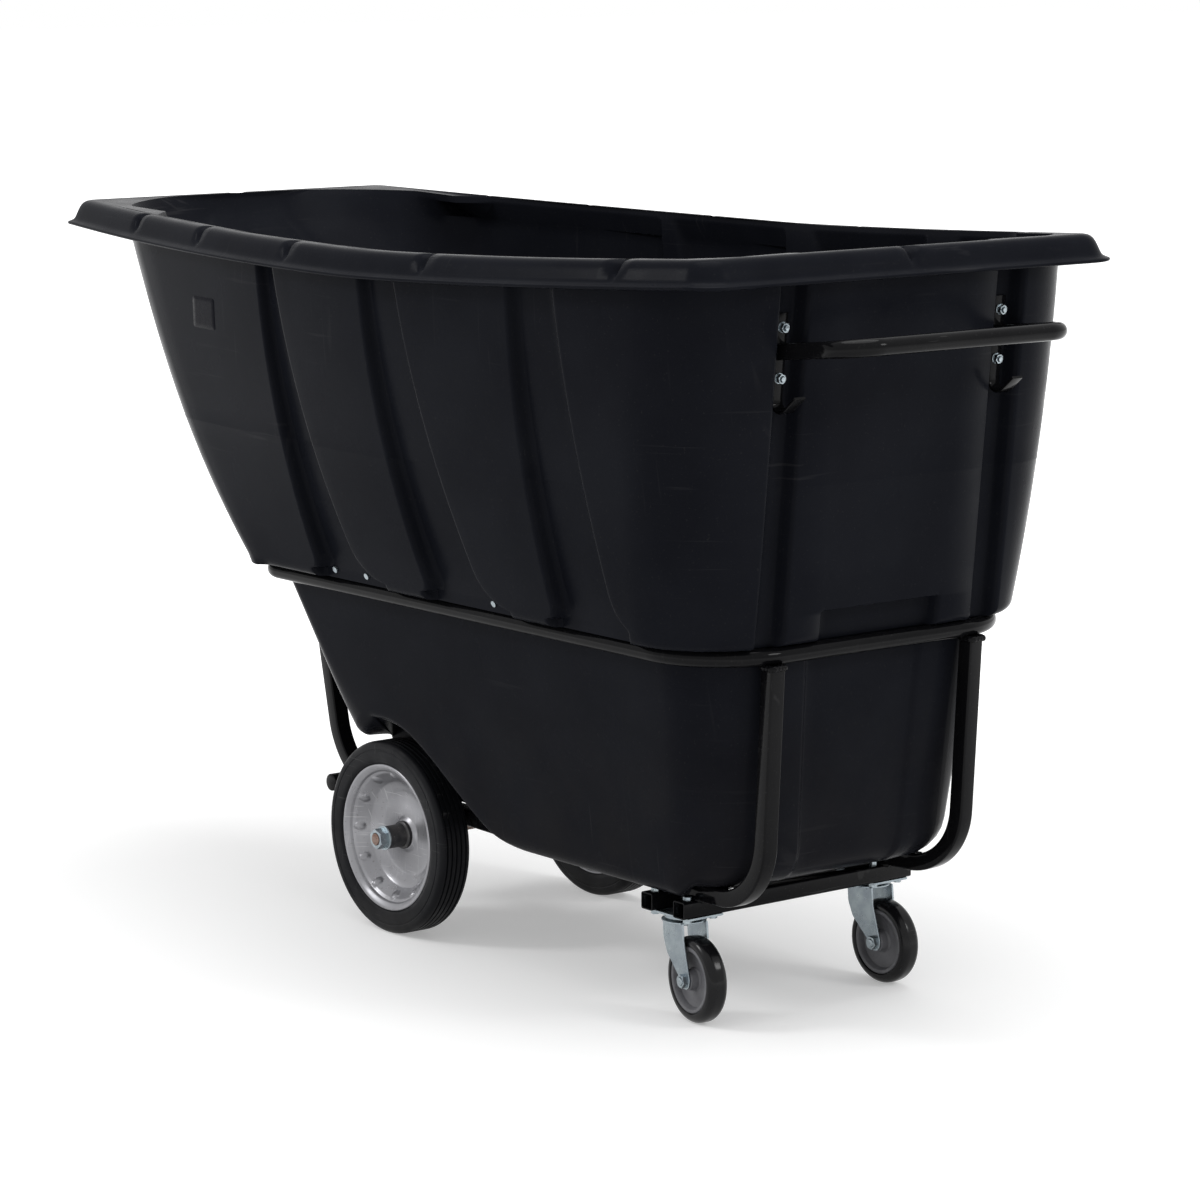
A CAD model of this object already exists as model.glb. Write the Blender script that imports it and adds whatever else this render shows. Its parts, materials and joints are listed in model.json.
import json
import math

import bmesh
import bpy
import numpy as np
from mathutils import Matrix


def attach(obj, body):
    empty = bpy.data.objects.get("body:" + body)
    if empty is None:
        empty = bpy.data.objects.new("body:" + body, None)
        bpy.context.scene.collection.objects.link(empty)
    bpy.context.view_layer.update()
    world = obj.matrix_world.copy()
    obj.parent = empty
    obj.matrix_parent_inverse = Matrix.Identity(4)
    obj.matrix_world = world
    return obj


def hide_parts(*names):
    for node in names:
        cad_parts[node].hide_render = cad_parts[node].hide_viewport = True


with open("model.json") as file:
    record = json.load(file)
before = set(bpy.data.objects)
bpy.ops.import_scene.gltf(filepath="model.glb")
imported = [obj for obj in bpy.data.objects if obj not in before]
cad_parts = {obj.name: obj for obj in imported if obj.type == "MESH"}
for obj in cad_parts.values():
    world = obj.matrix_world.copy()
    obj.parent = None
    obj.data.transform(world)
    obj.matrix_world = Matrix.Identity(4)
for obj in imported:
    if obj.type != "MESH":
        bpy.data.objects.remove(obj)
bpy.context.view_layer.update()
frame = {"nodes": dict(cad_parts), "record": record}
nodes = frame["nodes"]
print("frame loaded:", len(nodes), "nodes")

camera = {"place": (5.0438, -3.9282, 1.6017), "turn": (80.437, 0.0, 51.505), "lens": 124.83}


# A new object, linked into the scene
def newObject(name, data):
    made = bpy.data.objects.new(name, data)
    bpy.context.scene.collection.objects.link(made)
    return made


# The camera that looks along the line of the product view
def addCamera():
    data = bpy.data.cameras.new("camera")
    data.sensor_width = 36.0
    data.lens = camera["lens"]
    data.clip_end = 200.0
    view = newObject("camera", data)
    view.location = camera["place"]
    view.rotation_euler = [math.radians(a) for a in camera["turn"]]
    bpy.context.scene.camera = view


studio = {"floorColour": 0.8, "floorSize": 80.0, "nearLift": 0.3, "farLift": 1.0, "liftFrom": 0.9, "liftTo": 3.2,
          "skyLight": 0.7,
          "lamps": [  # name, place, target, width, watts
              ("key", (-3.2, -4.6, 4.4), (0, 0, 0.6), 1.6, 100),
              ("fill", (4.6, 2.2, 3.4), (0, 0, 0.6), 1.4, 50),
              ("top", (0.4, 0.2, 5.2), (0, 0, 0.6), 4.0, 135)]}


# A shader node: each socket is linked where another node's socket is given for it, and set to the value otherwise
def addNode(tree, kind, sockets=None, **settings):
    node = tree.nodes.new("ShaderNode" + kind)
    for key, value in settings.items():
        setattr(node, key, value)
    for key, value in (sockets or {}).items():
        socket = node.inputs[key]
        if isinstance(value, bpy.types.NodeSocket):
            tree.links.new(value, socket)
        else:
            socket.default_value = (*value, 1) if socket.type == "RGBA" else value
    return node


# 1 for camera, mirror and glass rays, 0 for the light that falls on things
def seenDirectly(tree):
    path = addNode(tree, "LightPath")
    total = path.outputs["Is Camera Ray"]
    for ray in ("Is Glossy Ray", "Is Transmission Ray"):
        total = addNode(tree, "Math", {0: total, 1: path.outputs[ray]}, operation="MAXIMUM").outputs[0]
    return total


# The floor: matt, plus a glow seen directly that grows with the distance, so that the shadow stays near the cart
def addFloor():
    half = studio["floorSize"] / 2
    mesh = bpy.data.meshes.new("floor")
    mesh.from_pydata([(-half, -half, 0), (half, -half, 0), (half, half, 0), (-half, half, 0)], [], [(0, 1, 2, 3)])
    floor = newObject("floor", mesh)
    white = bpy.data.materials.new("floorWhite")
    white.use_nodes = True
    tree = white.node_tree
    tree.nodes.clear()
    matt = addNode(tree, "BsdfDiffuse", {"Color": [studio["floorColour"]] * 3})
    away = addNode(tree, "VectorMath", {0: addNode(tree, "TexCoord").outputs["Object"]}, operation="LENGTH")
    ramp = addNode(tree, "MapRange", {"Value": away.outputs["Value"], "From Min": studio["liftFrom"],
                                      "From Max": studio["liftTo"], "To Min": studio["nearLift"],
                                      "To Max": studio["farLift"]}, interpolation_type="SMOOTHSTEP")
    lift = addNode(tree, "Math", {0: seenDirectly(tree), 1: ramp.outputs["Result"]}, operation="MULTIPLY")
    glow = addNode(tree, "Emission", {"Strength": lift.outputs[0]})
    both = addNode(tree, "AddShader", {0: matt.outputs[0], 1: glow.outputs[0]})
    addNode(tree, "OutputMaterial", {"Surface": both.outputs[0]})
    mesh.materials.append(white)


# Sky, floor and lamps; a lamp's turn is found from the line between its place and its target
def addStudio():
    world = bpy.data.worlds.new("studio")
    world.use_nodes = True
    bpy.context.scene.world = world
    tree = world.node_tree
    strength = addNode(tree, "MapRange", {"Value": seenDirectly(tree), "To Min": studio["skyLight"], "To Max": 1.0})
    back = tree.nodes["Background"]
    back.inputs["Color"].default_value = (1, 1, 1, 1)
    tree.links.new(strength.outputs["Result"], back.inputs["Strength"])
    addFloor()
    for name, place, target, width, watts in studio["lamps"]:
        data = bpy.data.lights.new(name, "AREA")
        data.shape = "DISK"
        data.size = width
        data.energy = watts
        lamp = newObject(name, data)
        lamp.location = place
        aim = np.subtract(place, target)
        lamp.rotation_euler = (math.atan2(math.hypot(aim[0], aim[1]), aim[2]), 0,
                               math.atan2(aim[1], aim[0]) + math.pi / 2)


addCamera()
addStudio()
bpy.context.scene.view_settings.view_transform = "Standard"
print("camera, floor and lamps placed")


# A finish with cloudy colour, fine specks, scratches in two directions, dust that gathers low down, uneven gloss
# and a fine bump, all from Object coordinates
def weatheredFinish(name, v):
    made = bpy.data.materials.new(name)
    made.use_nodes = True
    tree = made.node_tree
    shader = tree.nodes["Principled BSDF"]
    shader.inputs["Metallic"].default_value = v.get("metal", 0.0)
    shader.inputs["Specular IOR Level"].default_value = v.get("shine", 0.5)
    where = addNode(tree, "TexCoord").outputs["Object"]

    # Noise over the object's own place, stretched and turned first where asked
    def noise(scale, detail=4.0, stretch=None, turn=None):
        source = where
        if stretch:
            source = addNode(tree, "Mapping", {"Vector": where, "Scale": stretch, "Rotation": turn}).outputs["Vector"]
        return addNode(tree, "TexNoise", {"Vector": source, "Scale": scale, "Detail": detail}).outputs["Fac"]

    # The value carried from the range low to high over to the range a to b
    def spread(value, low, high, a, b):
        return addNode(tree, "MapRange", {"Value": value, "From Min": low, "From Max": high, "To Min": a,
                                          "To Max": b}).outputs["Result"]

    # First times second
    def times(first, second):
        return addNode(tree, "Math", {0: first, 1: second}, operation="MULTIPLY").outputs[0]

    # Under where the share is 0, over where it is 1
    def blend(share, under, over):
        node = addNode(tree, "Mix", {"Factor": share}, data_type="RGBA")
        colours = [s for s in node.inputs if s.type == "RGBA"]
        for socket, colour in zip(colours, (under, over)):
            if isinstance(colour, tuple):
                socket.default_value = (*colour, 1)
            else:
                tree.links.new(colour, socket)
        return [s for s in node.outputs if s.type == "RGBA"][0]

    colour = blend(spread(noise(v["cloudScale"]), 0.35, 0.65, 0, 1), v["colour"], v["cloud"])
    if "speck" in v:
        speck, scale, share = v["speck"]
        colour = blend(spread(noise(scale, 2.0), 0.66, 0.72, 0, share), colour, speck)
    rough = spread(noise(v["cloudScale"] * 2.3), 0.3, 0.7, *v["rough"])
    if "scratch" in v:
        scratch, scale, share = v["scratch"]
        for stretch, turn in (((1, 1, 26), (0.5, 0.2, 0)), ((24, 2, 1), (0.1, 0.7, 0.4))):
            lines = spread(noise(scale, 2.0, stretch, turn), 0.66, 0.72, 0, share)
            patch = spread(noise(scale * 0.45), 0.48, 0.6, 0, 1)
            colour = blend(times(lines, patch), colour, scratch)
    if "dust" in v:
        dust, low, high, share = v["dust"]
        settled = spread(addNode(tree, "SeparateXYZ", {0: where}).outputs["Z"], low, high, share, 0)
        colour = blend(times(settled, spread(noise(v["cloudScale"] * 1.7), 0.3, 0.65, 0.2, 1)), colour, dust)
    bump = addNode(tree, "Bump", {"Strength": v["bump"], "Distance": v["depth"], "Height": noise(v["grain"], 3.0)})
    for key, value in (("Base Color", colour), ("Roughness", rough), ("Normal", bump.outputs["Normal"])):
        tree.links.new(value, shader.inputs[key])
    return made


finishValues = {  # speck and scratch: colour, scale, share; dust: colour, height from and to, share
    "tub": {"name": "tubPlastic", "colour": (0.0066, 0.0072, 0.01), "cloud": (0.0088, 0.0096, 0.0128),
            "cloudScale": 7.0, "speck": ((0.03, 0.03, 0.03), 260.0, 0.25), "shine": 0.014, "rough": (0.18, 0.3),
            "scratch": ((0.03, 0.03, 0.033), 5.0, 0.35), "dust": ((0.022, 0.02, 0.019), 0.2, 0.5, 0.3),
            "grain": 420.0, "bump": 0.25, "depth": 0.0005},
    "frame": {"name": "blackCoat", "colour": (0.0035, 0.0035, 0.0042), "cloud": (0.0055, 0.0055, 0.0062),
              "cloudScale": 9.0, "shine": 0.08, "rough": (0.05, 0.12), "speck": ((0.05, 0.05, 0.05), 300.0, 0.25),
              "scratch": ((0.06, 0.06, 0.06), 18.0, 0.3), "grain": 500.0, "bump": 0.12, "depth": 0.0003},
    "tyre": {"name": "tyreRubber", "colour": (0.0042, 0.0045, 0.0058), "cloud": (0.0075, 0.0078, 0.0095),
             "cloudScale": 14.0, "shine": 0.1, "rough": (0.36, 0.6), "scratch": ((0.07, 0.07, 0.07), 16.0, 0.5),
             "dust": ((0.04, 0.038, 0.036), 0.0, 0.05, 0.5), "grain": 260.0, "bump": 0.3, "depth": 0.0005},
    "rim": {"name": "silverPaint", "colour": (0.3, 0.3, 0.315), "cloud": (0.25, 0.25, 0.265), "cloudScale": 16.0,
            "metal": 0.75, "rough": (0.26, 0.4), "scratch": ((0.5, 0.5, 0.52), 20.0, 0.6),
            "speck": ((0.1, 0.09, 0.085), 180.0, 0.4), "grain": 300.0, "bump": 0.15, "depth": 0.0003},
    "hub": {"name": "greasySteel", "colour": (0.03, 0.03, 0.033), "cloud": (0.075, 0.072, 0.072), "cloudScale": 50.0,
            "metal": 0.6, "rough": (0.3, 0.5), "speck": ((0.2, 0.19, 0.18), 240.0, 0.6), "grain": 400.0,
            "bump": 0.25, "depth": 0.0003},
    "plate": {"name": "blackPlate", "colour": (0.003, 0.0032, 0.006), "cloud": (0.0045, 0.0048, 0.008),
              "cloudScale": 40.0, "shine": 0.02, "rough": (0.2, 0.36), "scratch": ((0.02, 0.02, 0.02), 30.0, 0.4),
              "grain": 600.0, "bump": 0.1, "depth": 0.0002},
    "zinc": {"name": "zincPlate", "colour": (0.36, 0.41, 0.43), "cloud": (0.26, 0.3, 0.33), "cloudScale": 40.0,
             "metal": 0.9, "rough": (0.22, 0.4), "speck": ((0.12, 0.12, 0.11), 400.0, 0.5), "grain": 500.0,
             "bump": 0.15, "depth": 0.0002},
    "axle": {"name": "rustySteel", "colour": (0.16, 0.085, 0.06), "cloud": (0.26, 0.19, 0.16), "cloudScale": 90.0,
             "metal": 0.6, "rough": (0.4, 0.65), "speck": ((0.09, 0.03, 0.015), 300.0, 0.8), "grain": 500.0,
             "bump": 0.3, "depth": 0.0003},
    "caster_tread": {"name": "casterTread", "colour": (0.0042, 0.0042, 0.0048), "cloud": (0.007, 0.007, 0.008),
                     "cloudScale": 20.0, "shine": 0.2, "rough": (0.12, 0.26),
                     "scratch": ((0.08, 0.08, 0.08), 26.0, 0.35), "dust": ((0.06, 0.057, 0.054), 0.0, 0.02, 0.5),
                     "grain": 300.0, "bump": 0.12, "depth": 0.0003},
    "caster_core": {"name": "casterCore", "colour": (0.15, 0.15, 0.16), "cloud": (0.11, 0.11, 0.12),
                    "cloudScale": 30.0, "shine": 0.4, "rough": (0.4, 0.55),
                    "speck": ((0.04, 0.04, 0.04), 240.0, 0.4), "grain": 300.0, "bump": 0.2, "depth": 0.0004}}
finishes = {slot: weatheredFinish(v["name"], v) for slot, v in finishValues.items()}
slotOf = {part["node"]: part["material_slot"] for part in frame["record"]["subparts"]}
for name, node in nodes.items():
    node.data.materials.clear()
    node.data.materials.append(finishes[slotOf[name]])
print("materials set on", len(nodes), "nodes")

middleX = -575.65  # the middle of the cart; lengths below are millimetres from the handle side of the rear base tube
hands = ((-1, "left"), (1, "right"))


# Millimetres to metres, from the cart's own origin to the middle of its length
def toRow(points):
    return (np.asarray(points, float) - [middleX, 0, 0]) / 1000


# a where the share is 0, b where it is 1
def mix(a, b, share):
    return a + (b - a) * share


# The value held between 0 and 1
def part01(value):
    return np.clip(value, 0.0, 1.0)


# Half a cosine wave from 0 to 1
def easeOver(value):
    return (1 - np.cos(np.pi * part01(value))) / 2


# Quads over a grid of points; either direction may close on itself, and open ends may be capped
def gridMesh(grid, aroundFirst=False, aroundSecond=False, capEnds=False):
    n, m = grid.shape[:2]
    here = np.arange(n * m).reshape(n, m)
    if aroundFirst:
        here = np.concatenate([here, here[:1]], 0)
    if aroundSecond:
        here = np.concatenate([here, here[:, :1]], 1)
    quads = np.stack([here[:-1, :-1], here[1:, :-1], here[1:, 1:], here[:-1, 1:]], 2).reshape(-1, 4).tolist()
    if capEnds:
        quads += [np.arange(m).tolist(), (np.arange(m)[::-1] + (n - 1) * m).tolist()]
    mesh = bpy.data.meshes.new("grid")
    mesh.from_pydata(toRow(grid.reshape(-1, 3)).tolist(), [], quads)
    return mesh


# A grid closed on itself both ways, like a ring
def closedMesh(grid):
    return gridMesh(grid, aroundFirst=True, aroundSecond=True)


# One object from one or more meshes, faces outward, smooth up to the sharp angle, riding on a body
def addPiece(name, meshes, body, finish, standsFor=(), sharp=35.0):
    whole = bmesh.new()
    for mesh in meshes:
        whole.from_mesh(mesh)
        bpy.data.meshes.remove(mesh)
    bmesh.ops.recalc_face_normals(whole, faces=whole.faces)
    mesh = bpy.data.meshes.new(name)
    whole.to_mesh(mesh)
    whole.free()
    mesh.shade_smooth()
    mesh.set_sharp_from_angle(angle=math.radians(sharp))
    mesh.materials.append(finishes[finish])
    piece = newObject(name, mesh)
    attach(piece, body)
    if standsFor:
        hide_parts(*standsFor)
    return piece


# A line of straight runs and arcs: each corner is rounded by an arc that touches both of its sides
def filletLine(corners, radii, steps=5, closed=True):
    corners = np.asarray(corners, float)
    n = len(corners)
    points = []
    for i in range(n):
        here = corners[i]
        if not closed and i in (0, n - 1) or radii[i] <= 0:
            points.append(here[None, :])
            continue
        a = corners[i - 1] - here
        b = corners[(i + 1) % n] - here
        a, b = a / np.linalg.norm(a), b / np.linalg.norm(b)
        half = np.arccos(np.clip(a @ b, -1, 1)) / 2
        middle = (a + b) / np.linalg.norm(a + b)
        centre = here + middle * radii[i] / np.sin(half)
        start = here + a * radii[i] / np.tan(half) - centre
        stop = here + b * radii[i] / np.tan(half) - centre
        share = np.linspace(0, 1, steps + 1)[:, None]
        angle = np.pi - 2 * half
        points.append(centre + (np.sin((1 - share) * angle) * start + np.sin(share * angle) * stop) / np.sin(angle))
    return np.concatenate(points)


# Even angles over a full turn
def anglesOf(count):
    return 2 * np.pi * np.arange(count) / count


# Even angles round an axis and the direction square to the axis at each: cosine times one side plus sine times another
def spokesOf(axis, around):
    axis = np.asarray(axis, float)
    first = np.cross(axis, [0.0, 0.0, 1.0]) if abs(axis[2]) < 0.9 else np.array([1.0, 0.0, 0.0])
    first /= np.linalg.norm(first)
    angle = anglesOf(around)
    return angle, np.cos(angle)[:, None] * first + np.sin(angle)[:, None] * np.cross(axis, first)


# A profile of (radius, distance along the axis) carried round the axis; ripple(radius, angle) moves it along
def turnedMesh(profile, centre, axis, around=96, ripple=None):
    profile = np.asarray(profile, float)
    angle, out = spokesOf(axis, around)
    radius, along = profile[:, 0][:, None], profile[:, 1][:, None] + 0 * angle[None, :]
    if ripple:
        along = along + ripple(radius, angle[None, :])
    grid = np.asarray(centre) + along[:, :, None] * np.asarray(axis, float) + radius[:, :, None] * out[None, :, :]
    return closedMesh(grid)


# A six-sided nut or bolt head: radius to the flats over the cosine, its outer corners chamfered, round a bore
def hexMesh(centre, axis, corners, height, bore, turn=0.0):
    angle, out = spokesOf(axis, 72)
    flat = corners * math.cos(math.pi / 6) / np.cos((angle + turn) % (np.pi / 3) - np.pi / 6)
    zero, bevelFrom = 0 * flat, corners * 0.9
    chamfer = np.maximum(0, flat - bevelFrom) * 0.6
    rows = [(zero + bore, zero), (flat, zero), (flat, height - chamfer), (np.minimum(flat, bevelFrom), zero + height),
            (zero + bore + 0.8, zero + height), (zero + bore, zero + height - 0.8)]
    grid = np.stack([np.asarray(centre) + p[:, None] * out + q[:, None] * np.asarray(axis, float) for p, q in rows])
    return closedMesh(grid)


# A section of (out, up) points carried along a path: centre + out * side + up * (side x direction)
def sweptMesh(centres, sides, section, closed=False):
    centres = np.asarray(centres, float)
    run = np.roll(centres, -1, 0) - np.roll(centres, 1, 0)
    if not closed:
        run[0], run[-1] = centres[1] - centres[0], centres[-1] - centres[-2]
    run /= np.linalg.norm(run, axis=1)[:, None]
    sides = np.broadcast_to(np.asarray(sides, float), centres.shape)
    sides = sides - run * np.sum(sides * run, 1)[:, None]
    sides = sides / np.linalg.norm(sides, axis=1)[:, None]
    ups = np.cross(sides, run)
    section = np.broadcast_to(section, (len(centres),) + section.shape[-2:])
    grid = centres[:, None] + section[..., 0:1] * sides[:, None] + section[..., 1:2] * ups[:, None]
    return gridMesh(grid, aroundFirst=closed, aroundSecond=True, capEnds=not closed)


# A round section: radius times cosine and sine of even angles
def ringSection(radius, count=32):
    angle = anglesOf(count)
    return radius * np.stack([np.cos(angle), np.sin(angle)], 1)


# A square or flat section: a rectangle with its corners rounded by arcs
def boxSection(wide, high, corner, steps=4):
    w, h = wide / 2, high / 2
    return filletLine([(w, h), (-w, h), (-w, -h), (w, -h)], [corner] * 4, steps)


# Draws: most, run, power; archFront: start, run, height; archRear and deepFrom: start, run; each groove: near edge at
# its top and foot, far edge at its top and foot
tubShape = {"crestHalf": 414.0, "crestEndX": 209.0, "crestNoseX": -1462.0, "crestEndZ": 1127.0, "rimSag": 30.0,
            "rimRise": 14.0, "wall": 6.0, "lipReach": 37.0, "lipDrop": 38.0, "panelProud": 15.0, "noseSlope": 0.938,
            "archZ": 347.0, "widestX": -525.0, "ledgeZ": 572.7, "ringZ": 560.0, "bodyHalf": 287.0, "bodyEndX": 137.0,
            "bodyNoseX": -937.0, "bodyEndR": 114.0, "bodyNoseR": 37.0, "panelFoot": 26.0, "panelTopZ": 1050.0,
            "panelR": 140.0, "bodyTaper": 0.12, "endDraft": 0.095, "railTop": 208.3, "lipNoseR": 34.0, "lipEndR": 46.0,
            "rimFlat": 9.0, "strapBand": (181, 225), "footBand": 109, "endFlat": 240, "seam": 0.654, "seamProud": 0.3,
            "noseDraw": (98, 825, 1.6), "endDraw": (37, 600, 1.9), "noseR": (70, 250), "grooveFlare": (23.0, 55.0),
            "grooveStop": 16, "archFront": (-712, 120, 300), "archRear": (-690, 328), "deepFrom": (-440, 70),
            "notches": (-1205.0, -973.0, -689.0, -340.0, 61.0), "notchHalf": 9.0, "notchDepth": 7.0,
            "grooves": ((-796.0, -734.0, -757.0, -628.0), (-506.0, -448.0, -429.0, -318.0),
                        (-166.0, -145.0, -79.0, -12.0))}
t = tubShape
footZ = t["ledgeZ"] + 13.0
footHalf = t["bodyHalf"] + 52.0
lipNoseX = t["crestNoseX"] - t["lipReach"]


# Half width of the crest: the widest place less a power of the distance towards nose or handle
def crestHalf(x):
    draw = lambda away, most, run, power: most * (np.maximum(0, away) / run) ** power
    nose, end = draw(t["widestX"] - x, *t["noseDraw"]), draw(x - t["widestX"], *t["endDraw"])
    return t["crestHalf"] - np.where(x < t["widestX"], nose, end)


# Height of the crest: level in the middle, rising to the handle end and a little to the nose
def crestZ(x):
    end = 1 - part01((x - t["widestX"]) / (t["crestEndX"] - t["widestX"])) ** 1.4
    nose = part01((t["widestX"] - x) / (t["widestX"] - t["crestNoseX"])) ** 2
    return t["crestEndZ"] - np.where(x > t["widestX"], t["rimSag"] * end, t["rimSag"] - t["rimRise"] * nose)


# Half width of a side wall: a parabola in height, from the panel foot out to the crest
def sideHalf(x, z):
    top = crestZ(x) - t["lipDrop"]
    u = part01((top - z) / (top - footZ))
    return footHalf + (crestHalf(x) + 10 - footHalf) * (1 - u * u)


# Place of the end wall at a height: the foot, plus the draft times the height above the ring
def endX(z):
    return t["bodyEndX"] + t["panelFoot"] + 2 + t["endDraft"] * (z - t["ringZ"])


# Place of the nose wall at a height: the foot, less the slope times the height above the ledge
def noseX(z):
    return t["bodyNoseX"] - t["panelFoot"] - 10 - t["noseSlope"] * (z - t["ledgeZ"])


# Radius of the nose corners: it grows evenly from the ledge up to the crest
def noseR(z):
    return mix(*t["noseR"], part01((z - t["ledgeZ"]) / (crestZ(t["crestNoseX"]) - t["ledgeZ"])))


# Line of a groove's edge down the side, flared by a quarter circle at its foot
def grooveEdge(groove, second, z):
    share = (t["panelTopZ"] - z) / (t["panelTopZ"] - footZ)
    radius = t["grooveFlare"][second]
    h = np.minimum(np.maximum(0, z - footZ), radius)
    flare = radius - np.sqrt(radius ** 2 - (radius - h) ** 2)
    return mix(groove[2], groove[3], share) + flare if second else mix(groove[0], groove[1], share) - flare


# How deep a groove is at a place on the side, 0 on a panel and 1 on the groove's floor, with rounded edges
def grooveShare(x, z, skin):
    total = np.zeros(np.broadcast(x, z).shape)
    stop = endX(z) - t["panelR"] - t["grooveStop"]
    for groove in t["grooves"]:
        a = grooveEdge(groove, False, z) - 0.8 * skin
        b = np.minimum(grooveEdge(groove, True, z) + 0.8 * skin, stop)
        total = np.maximum(total, np.minimum(easeOver((x - a + 3) / 10), easeOver((b + 11 - x) / 22)))
    return total


# Stations that gather at each edge, as one flat array
def crowd(edges, spread):
    return (np.asarray(edges)[:, None] + np.asarray(spread)[None, :]).ravel()


# n even stations between two places, without the places themselves
def between(a, b, n):
    return a + (b - a) * (np.arange(n) + 1) / (n + 1)


noseN, arcN = 14, 18
edgeSpread = np.array([-8.0, -3, -1, 1, 3, 5, 7, 12])
farSpread = np.array([-14.0, -9.5, -6, -2, 2, 6, 9.5, 12.5])
notchSpread = np.array([-9.5, -5, 0, 5, 9.5])
sideCounts = [10, 8, 8, 8, 8, 8, 5]
rimCounts = [13, 14, 15, 15, 15]
sideN = sum(sideCounts) + 6 * len(edgeSpread)
rimCounts.append(sideN - sum(rimCounts) - 5 * len(notchSpread))


# Stations between two places: clusters of them, with a count of even steps before each and the last count at the end
def stationsOf(x0, x1, clusters, counts):
    parts, last = [], x0
    for here, n in zip(clusters, counts):
        parts += [between(last, here[0], n), here]
        last = here[-1]
    return np.concatenate(parts + [between(last, x1, counts[-1])])


# Stations along a side wall: eight at each groove edge and an even run between; skin widens a groove behind the wall
def sideStations(x0, x1, z, skin=0.0):
    edges = [e for g in t["grooves"] for e in (grooveEdge(g, False, z) - 0.8 * skin,
                                               min(grooveEdge(g, True, z) + 0.8 * skin, x1 - t["grooveStop"]))]
    return stationsOf(x0, x1, [e + (farSpread if i % 2 else edgeSpread) for i, e in enumerate(edges)], sideCounts)


# Stations along the lip: five at each notch and an even run between
def rimStations(x0, x1):
    return stationsOf(x0, x1, [centre + notchSpread for centre in t["notches"]], rimCounts)


noseShare = np.concatenate([[0, 0.02, 0.04, 0.065], np.linspace(0.12, 0.95, noseN - 4)])
bandEdges = [t["strapBand"][1], t["strapBand"][0], t["footBand"]]
endY = np.concatenate([[236], crowd(bandEdges, [7, 4, 1.3, -1.3, -4, -7]), [80, 55, 35, 18, 9, 4.5, 0]])
endN = len(endY)
halfN = noseN + arcN + sideN + arcN + endN
arcShare = np.arange(arcN) / arcN


# Points from x, y and z, each a number or an array
def rowsOf(x, y, z):
    return np.stack(np.broadcast_arrays(x, y, z), 1)


# Angle at which the end corner hands over to the flat of the end wall, from the half width there
def endTurn(flat, half, radius):
    return math.asin(min(1.0, max(0.0, (flat - (half - radius)) / radius)))


# How far the end corner still bows out at y: the radius, less what a circle loses past the corner's start
def endBow(y, half, radius):
    over = np.maximum(0, y - (half - radius))
    return np.sqrt(np.maximum(0, radius * radius - over * over))


# 1 across a band of the end wall, 0 outside it, with eased edges
def bandShare(y, inner, outer):
    return np.minimum(easeOver((y - inner + 7) / 14), easeOver((outer + 7 - y) / 14))


# Half outline above the ring at the heights zOf(x): nose, corner, side, corner, end wall
def upperRing(zOf, inset, panel=0.0):
    zn, ze = zOf(t["crestNoseX"]), zOf(t["crestEndX"])
    xn, xe = noseX(zn) + 1.4 * inset, endX(ze) - inset
    rn, re = noseR(zn) - inset, t["panelR"] - inset
    x0, x1 = xn + rn, xe - re
    rows = [rowsOf(xn, noseShare * (sideHalf(xn, zn) - inset - rn), zn)]
    a = np.pi / 2 * arcShare
    x = xn + rn * (1 - np.cos(a))
    rows += [rowsOf(x, sideHalf(x, zOf(x)) - inset - rn * (1 - np.sin(a)), zOf(x))]
    x = sideStations(x0, x1, zOf(t["widestX"]), inset)
    z = zOf(x) + 0 * x
    proud = mix(t["panelProud"] + 10, t["panelProud"], part01((z - footZ) / (t["panelTopZ"] - footZ)))
    depth = grooveShare(x, z, inset) * proud
    rows += [rowsOf(x, sideHalf(x, z) - inset - np.maximum(depth, panel), z)]
    ye = sideHalf(xe, ze) - inset
    a = mix(np.pi / 2, endTurn(t["endFlat"], ye, re), arcShare)
    x = x1 + re * np.cos(a)
    rows += [rowsOf(x - panel * np.cos(a), sideHalf(x, zOf(x)) - inset - re * (1 - np.sin(a)) - panel * np.sin(a),
                    zOf(x))]
    x = x1 + endBow(endY, ye, re)
    z = zOf(x) + 0 * x
    strap = bandShare(endY, *t["strapBand"])
    low = bandShare(endY, -200, t["footBand"]) * easeOver((footZ + 34 - z) / 6)
    cut = np.maximum(strap, low) * t["panelFoot"]
    rows += [rowsOf(x - np.maximum(cut, panel), endY, z)]
    return np.concatenate(rows)


# Height of the wheel arch's edge: eased down in front of the wheel and down to the deep handle end
def archZ(x):
    noseX0, noseRun, noseZ = t["archFront"]
    rearX0, rearRun = t["archRear"]
    return np.where(x < noseX0, mix(t["archZ"], noseZ, easeOver((noseX0 - x) / noseRun)),
                    mix(t["archZ"], t["railTop"] - 17, easeOver((x - rearX0) / rearRun)))


# 0 under the nose and 1 under the deep handle end, eased over 70 mm
def rearShare(x):
    start, run = t["deepFrom"]
    return easeOver((x - start) / run)


lower = {"gap": 8, "noseDraft": 0.47, "endDraft": 0.09, "noseR": 80, "edgeR": (14, 28), "endPull": 55,
         "flatHalf": 222, "narrow": 0.06, "middleIn": 6, "frontLift": 12, "channelHalf": (165, 200), "channelR": 25,
         "lanes": (3, 0, -12)}
endLowY = np.interp(endY, [0, 10, 50, 94 + 12, 112, 176 + 2, 184, 222, 236], [0, 10, 50, 94, 100, 176, 182, 206, 220])


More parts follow.
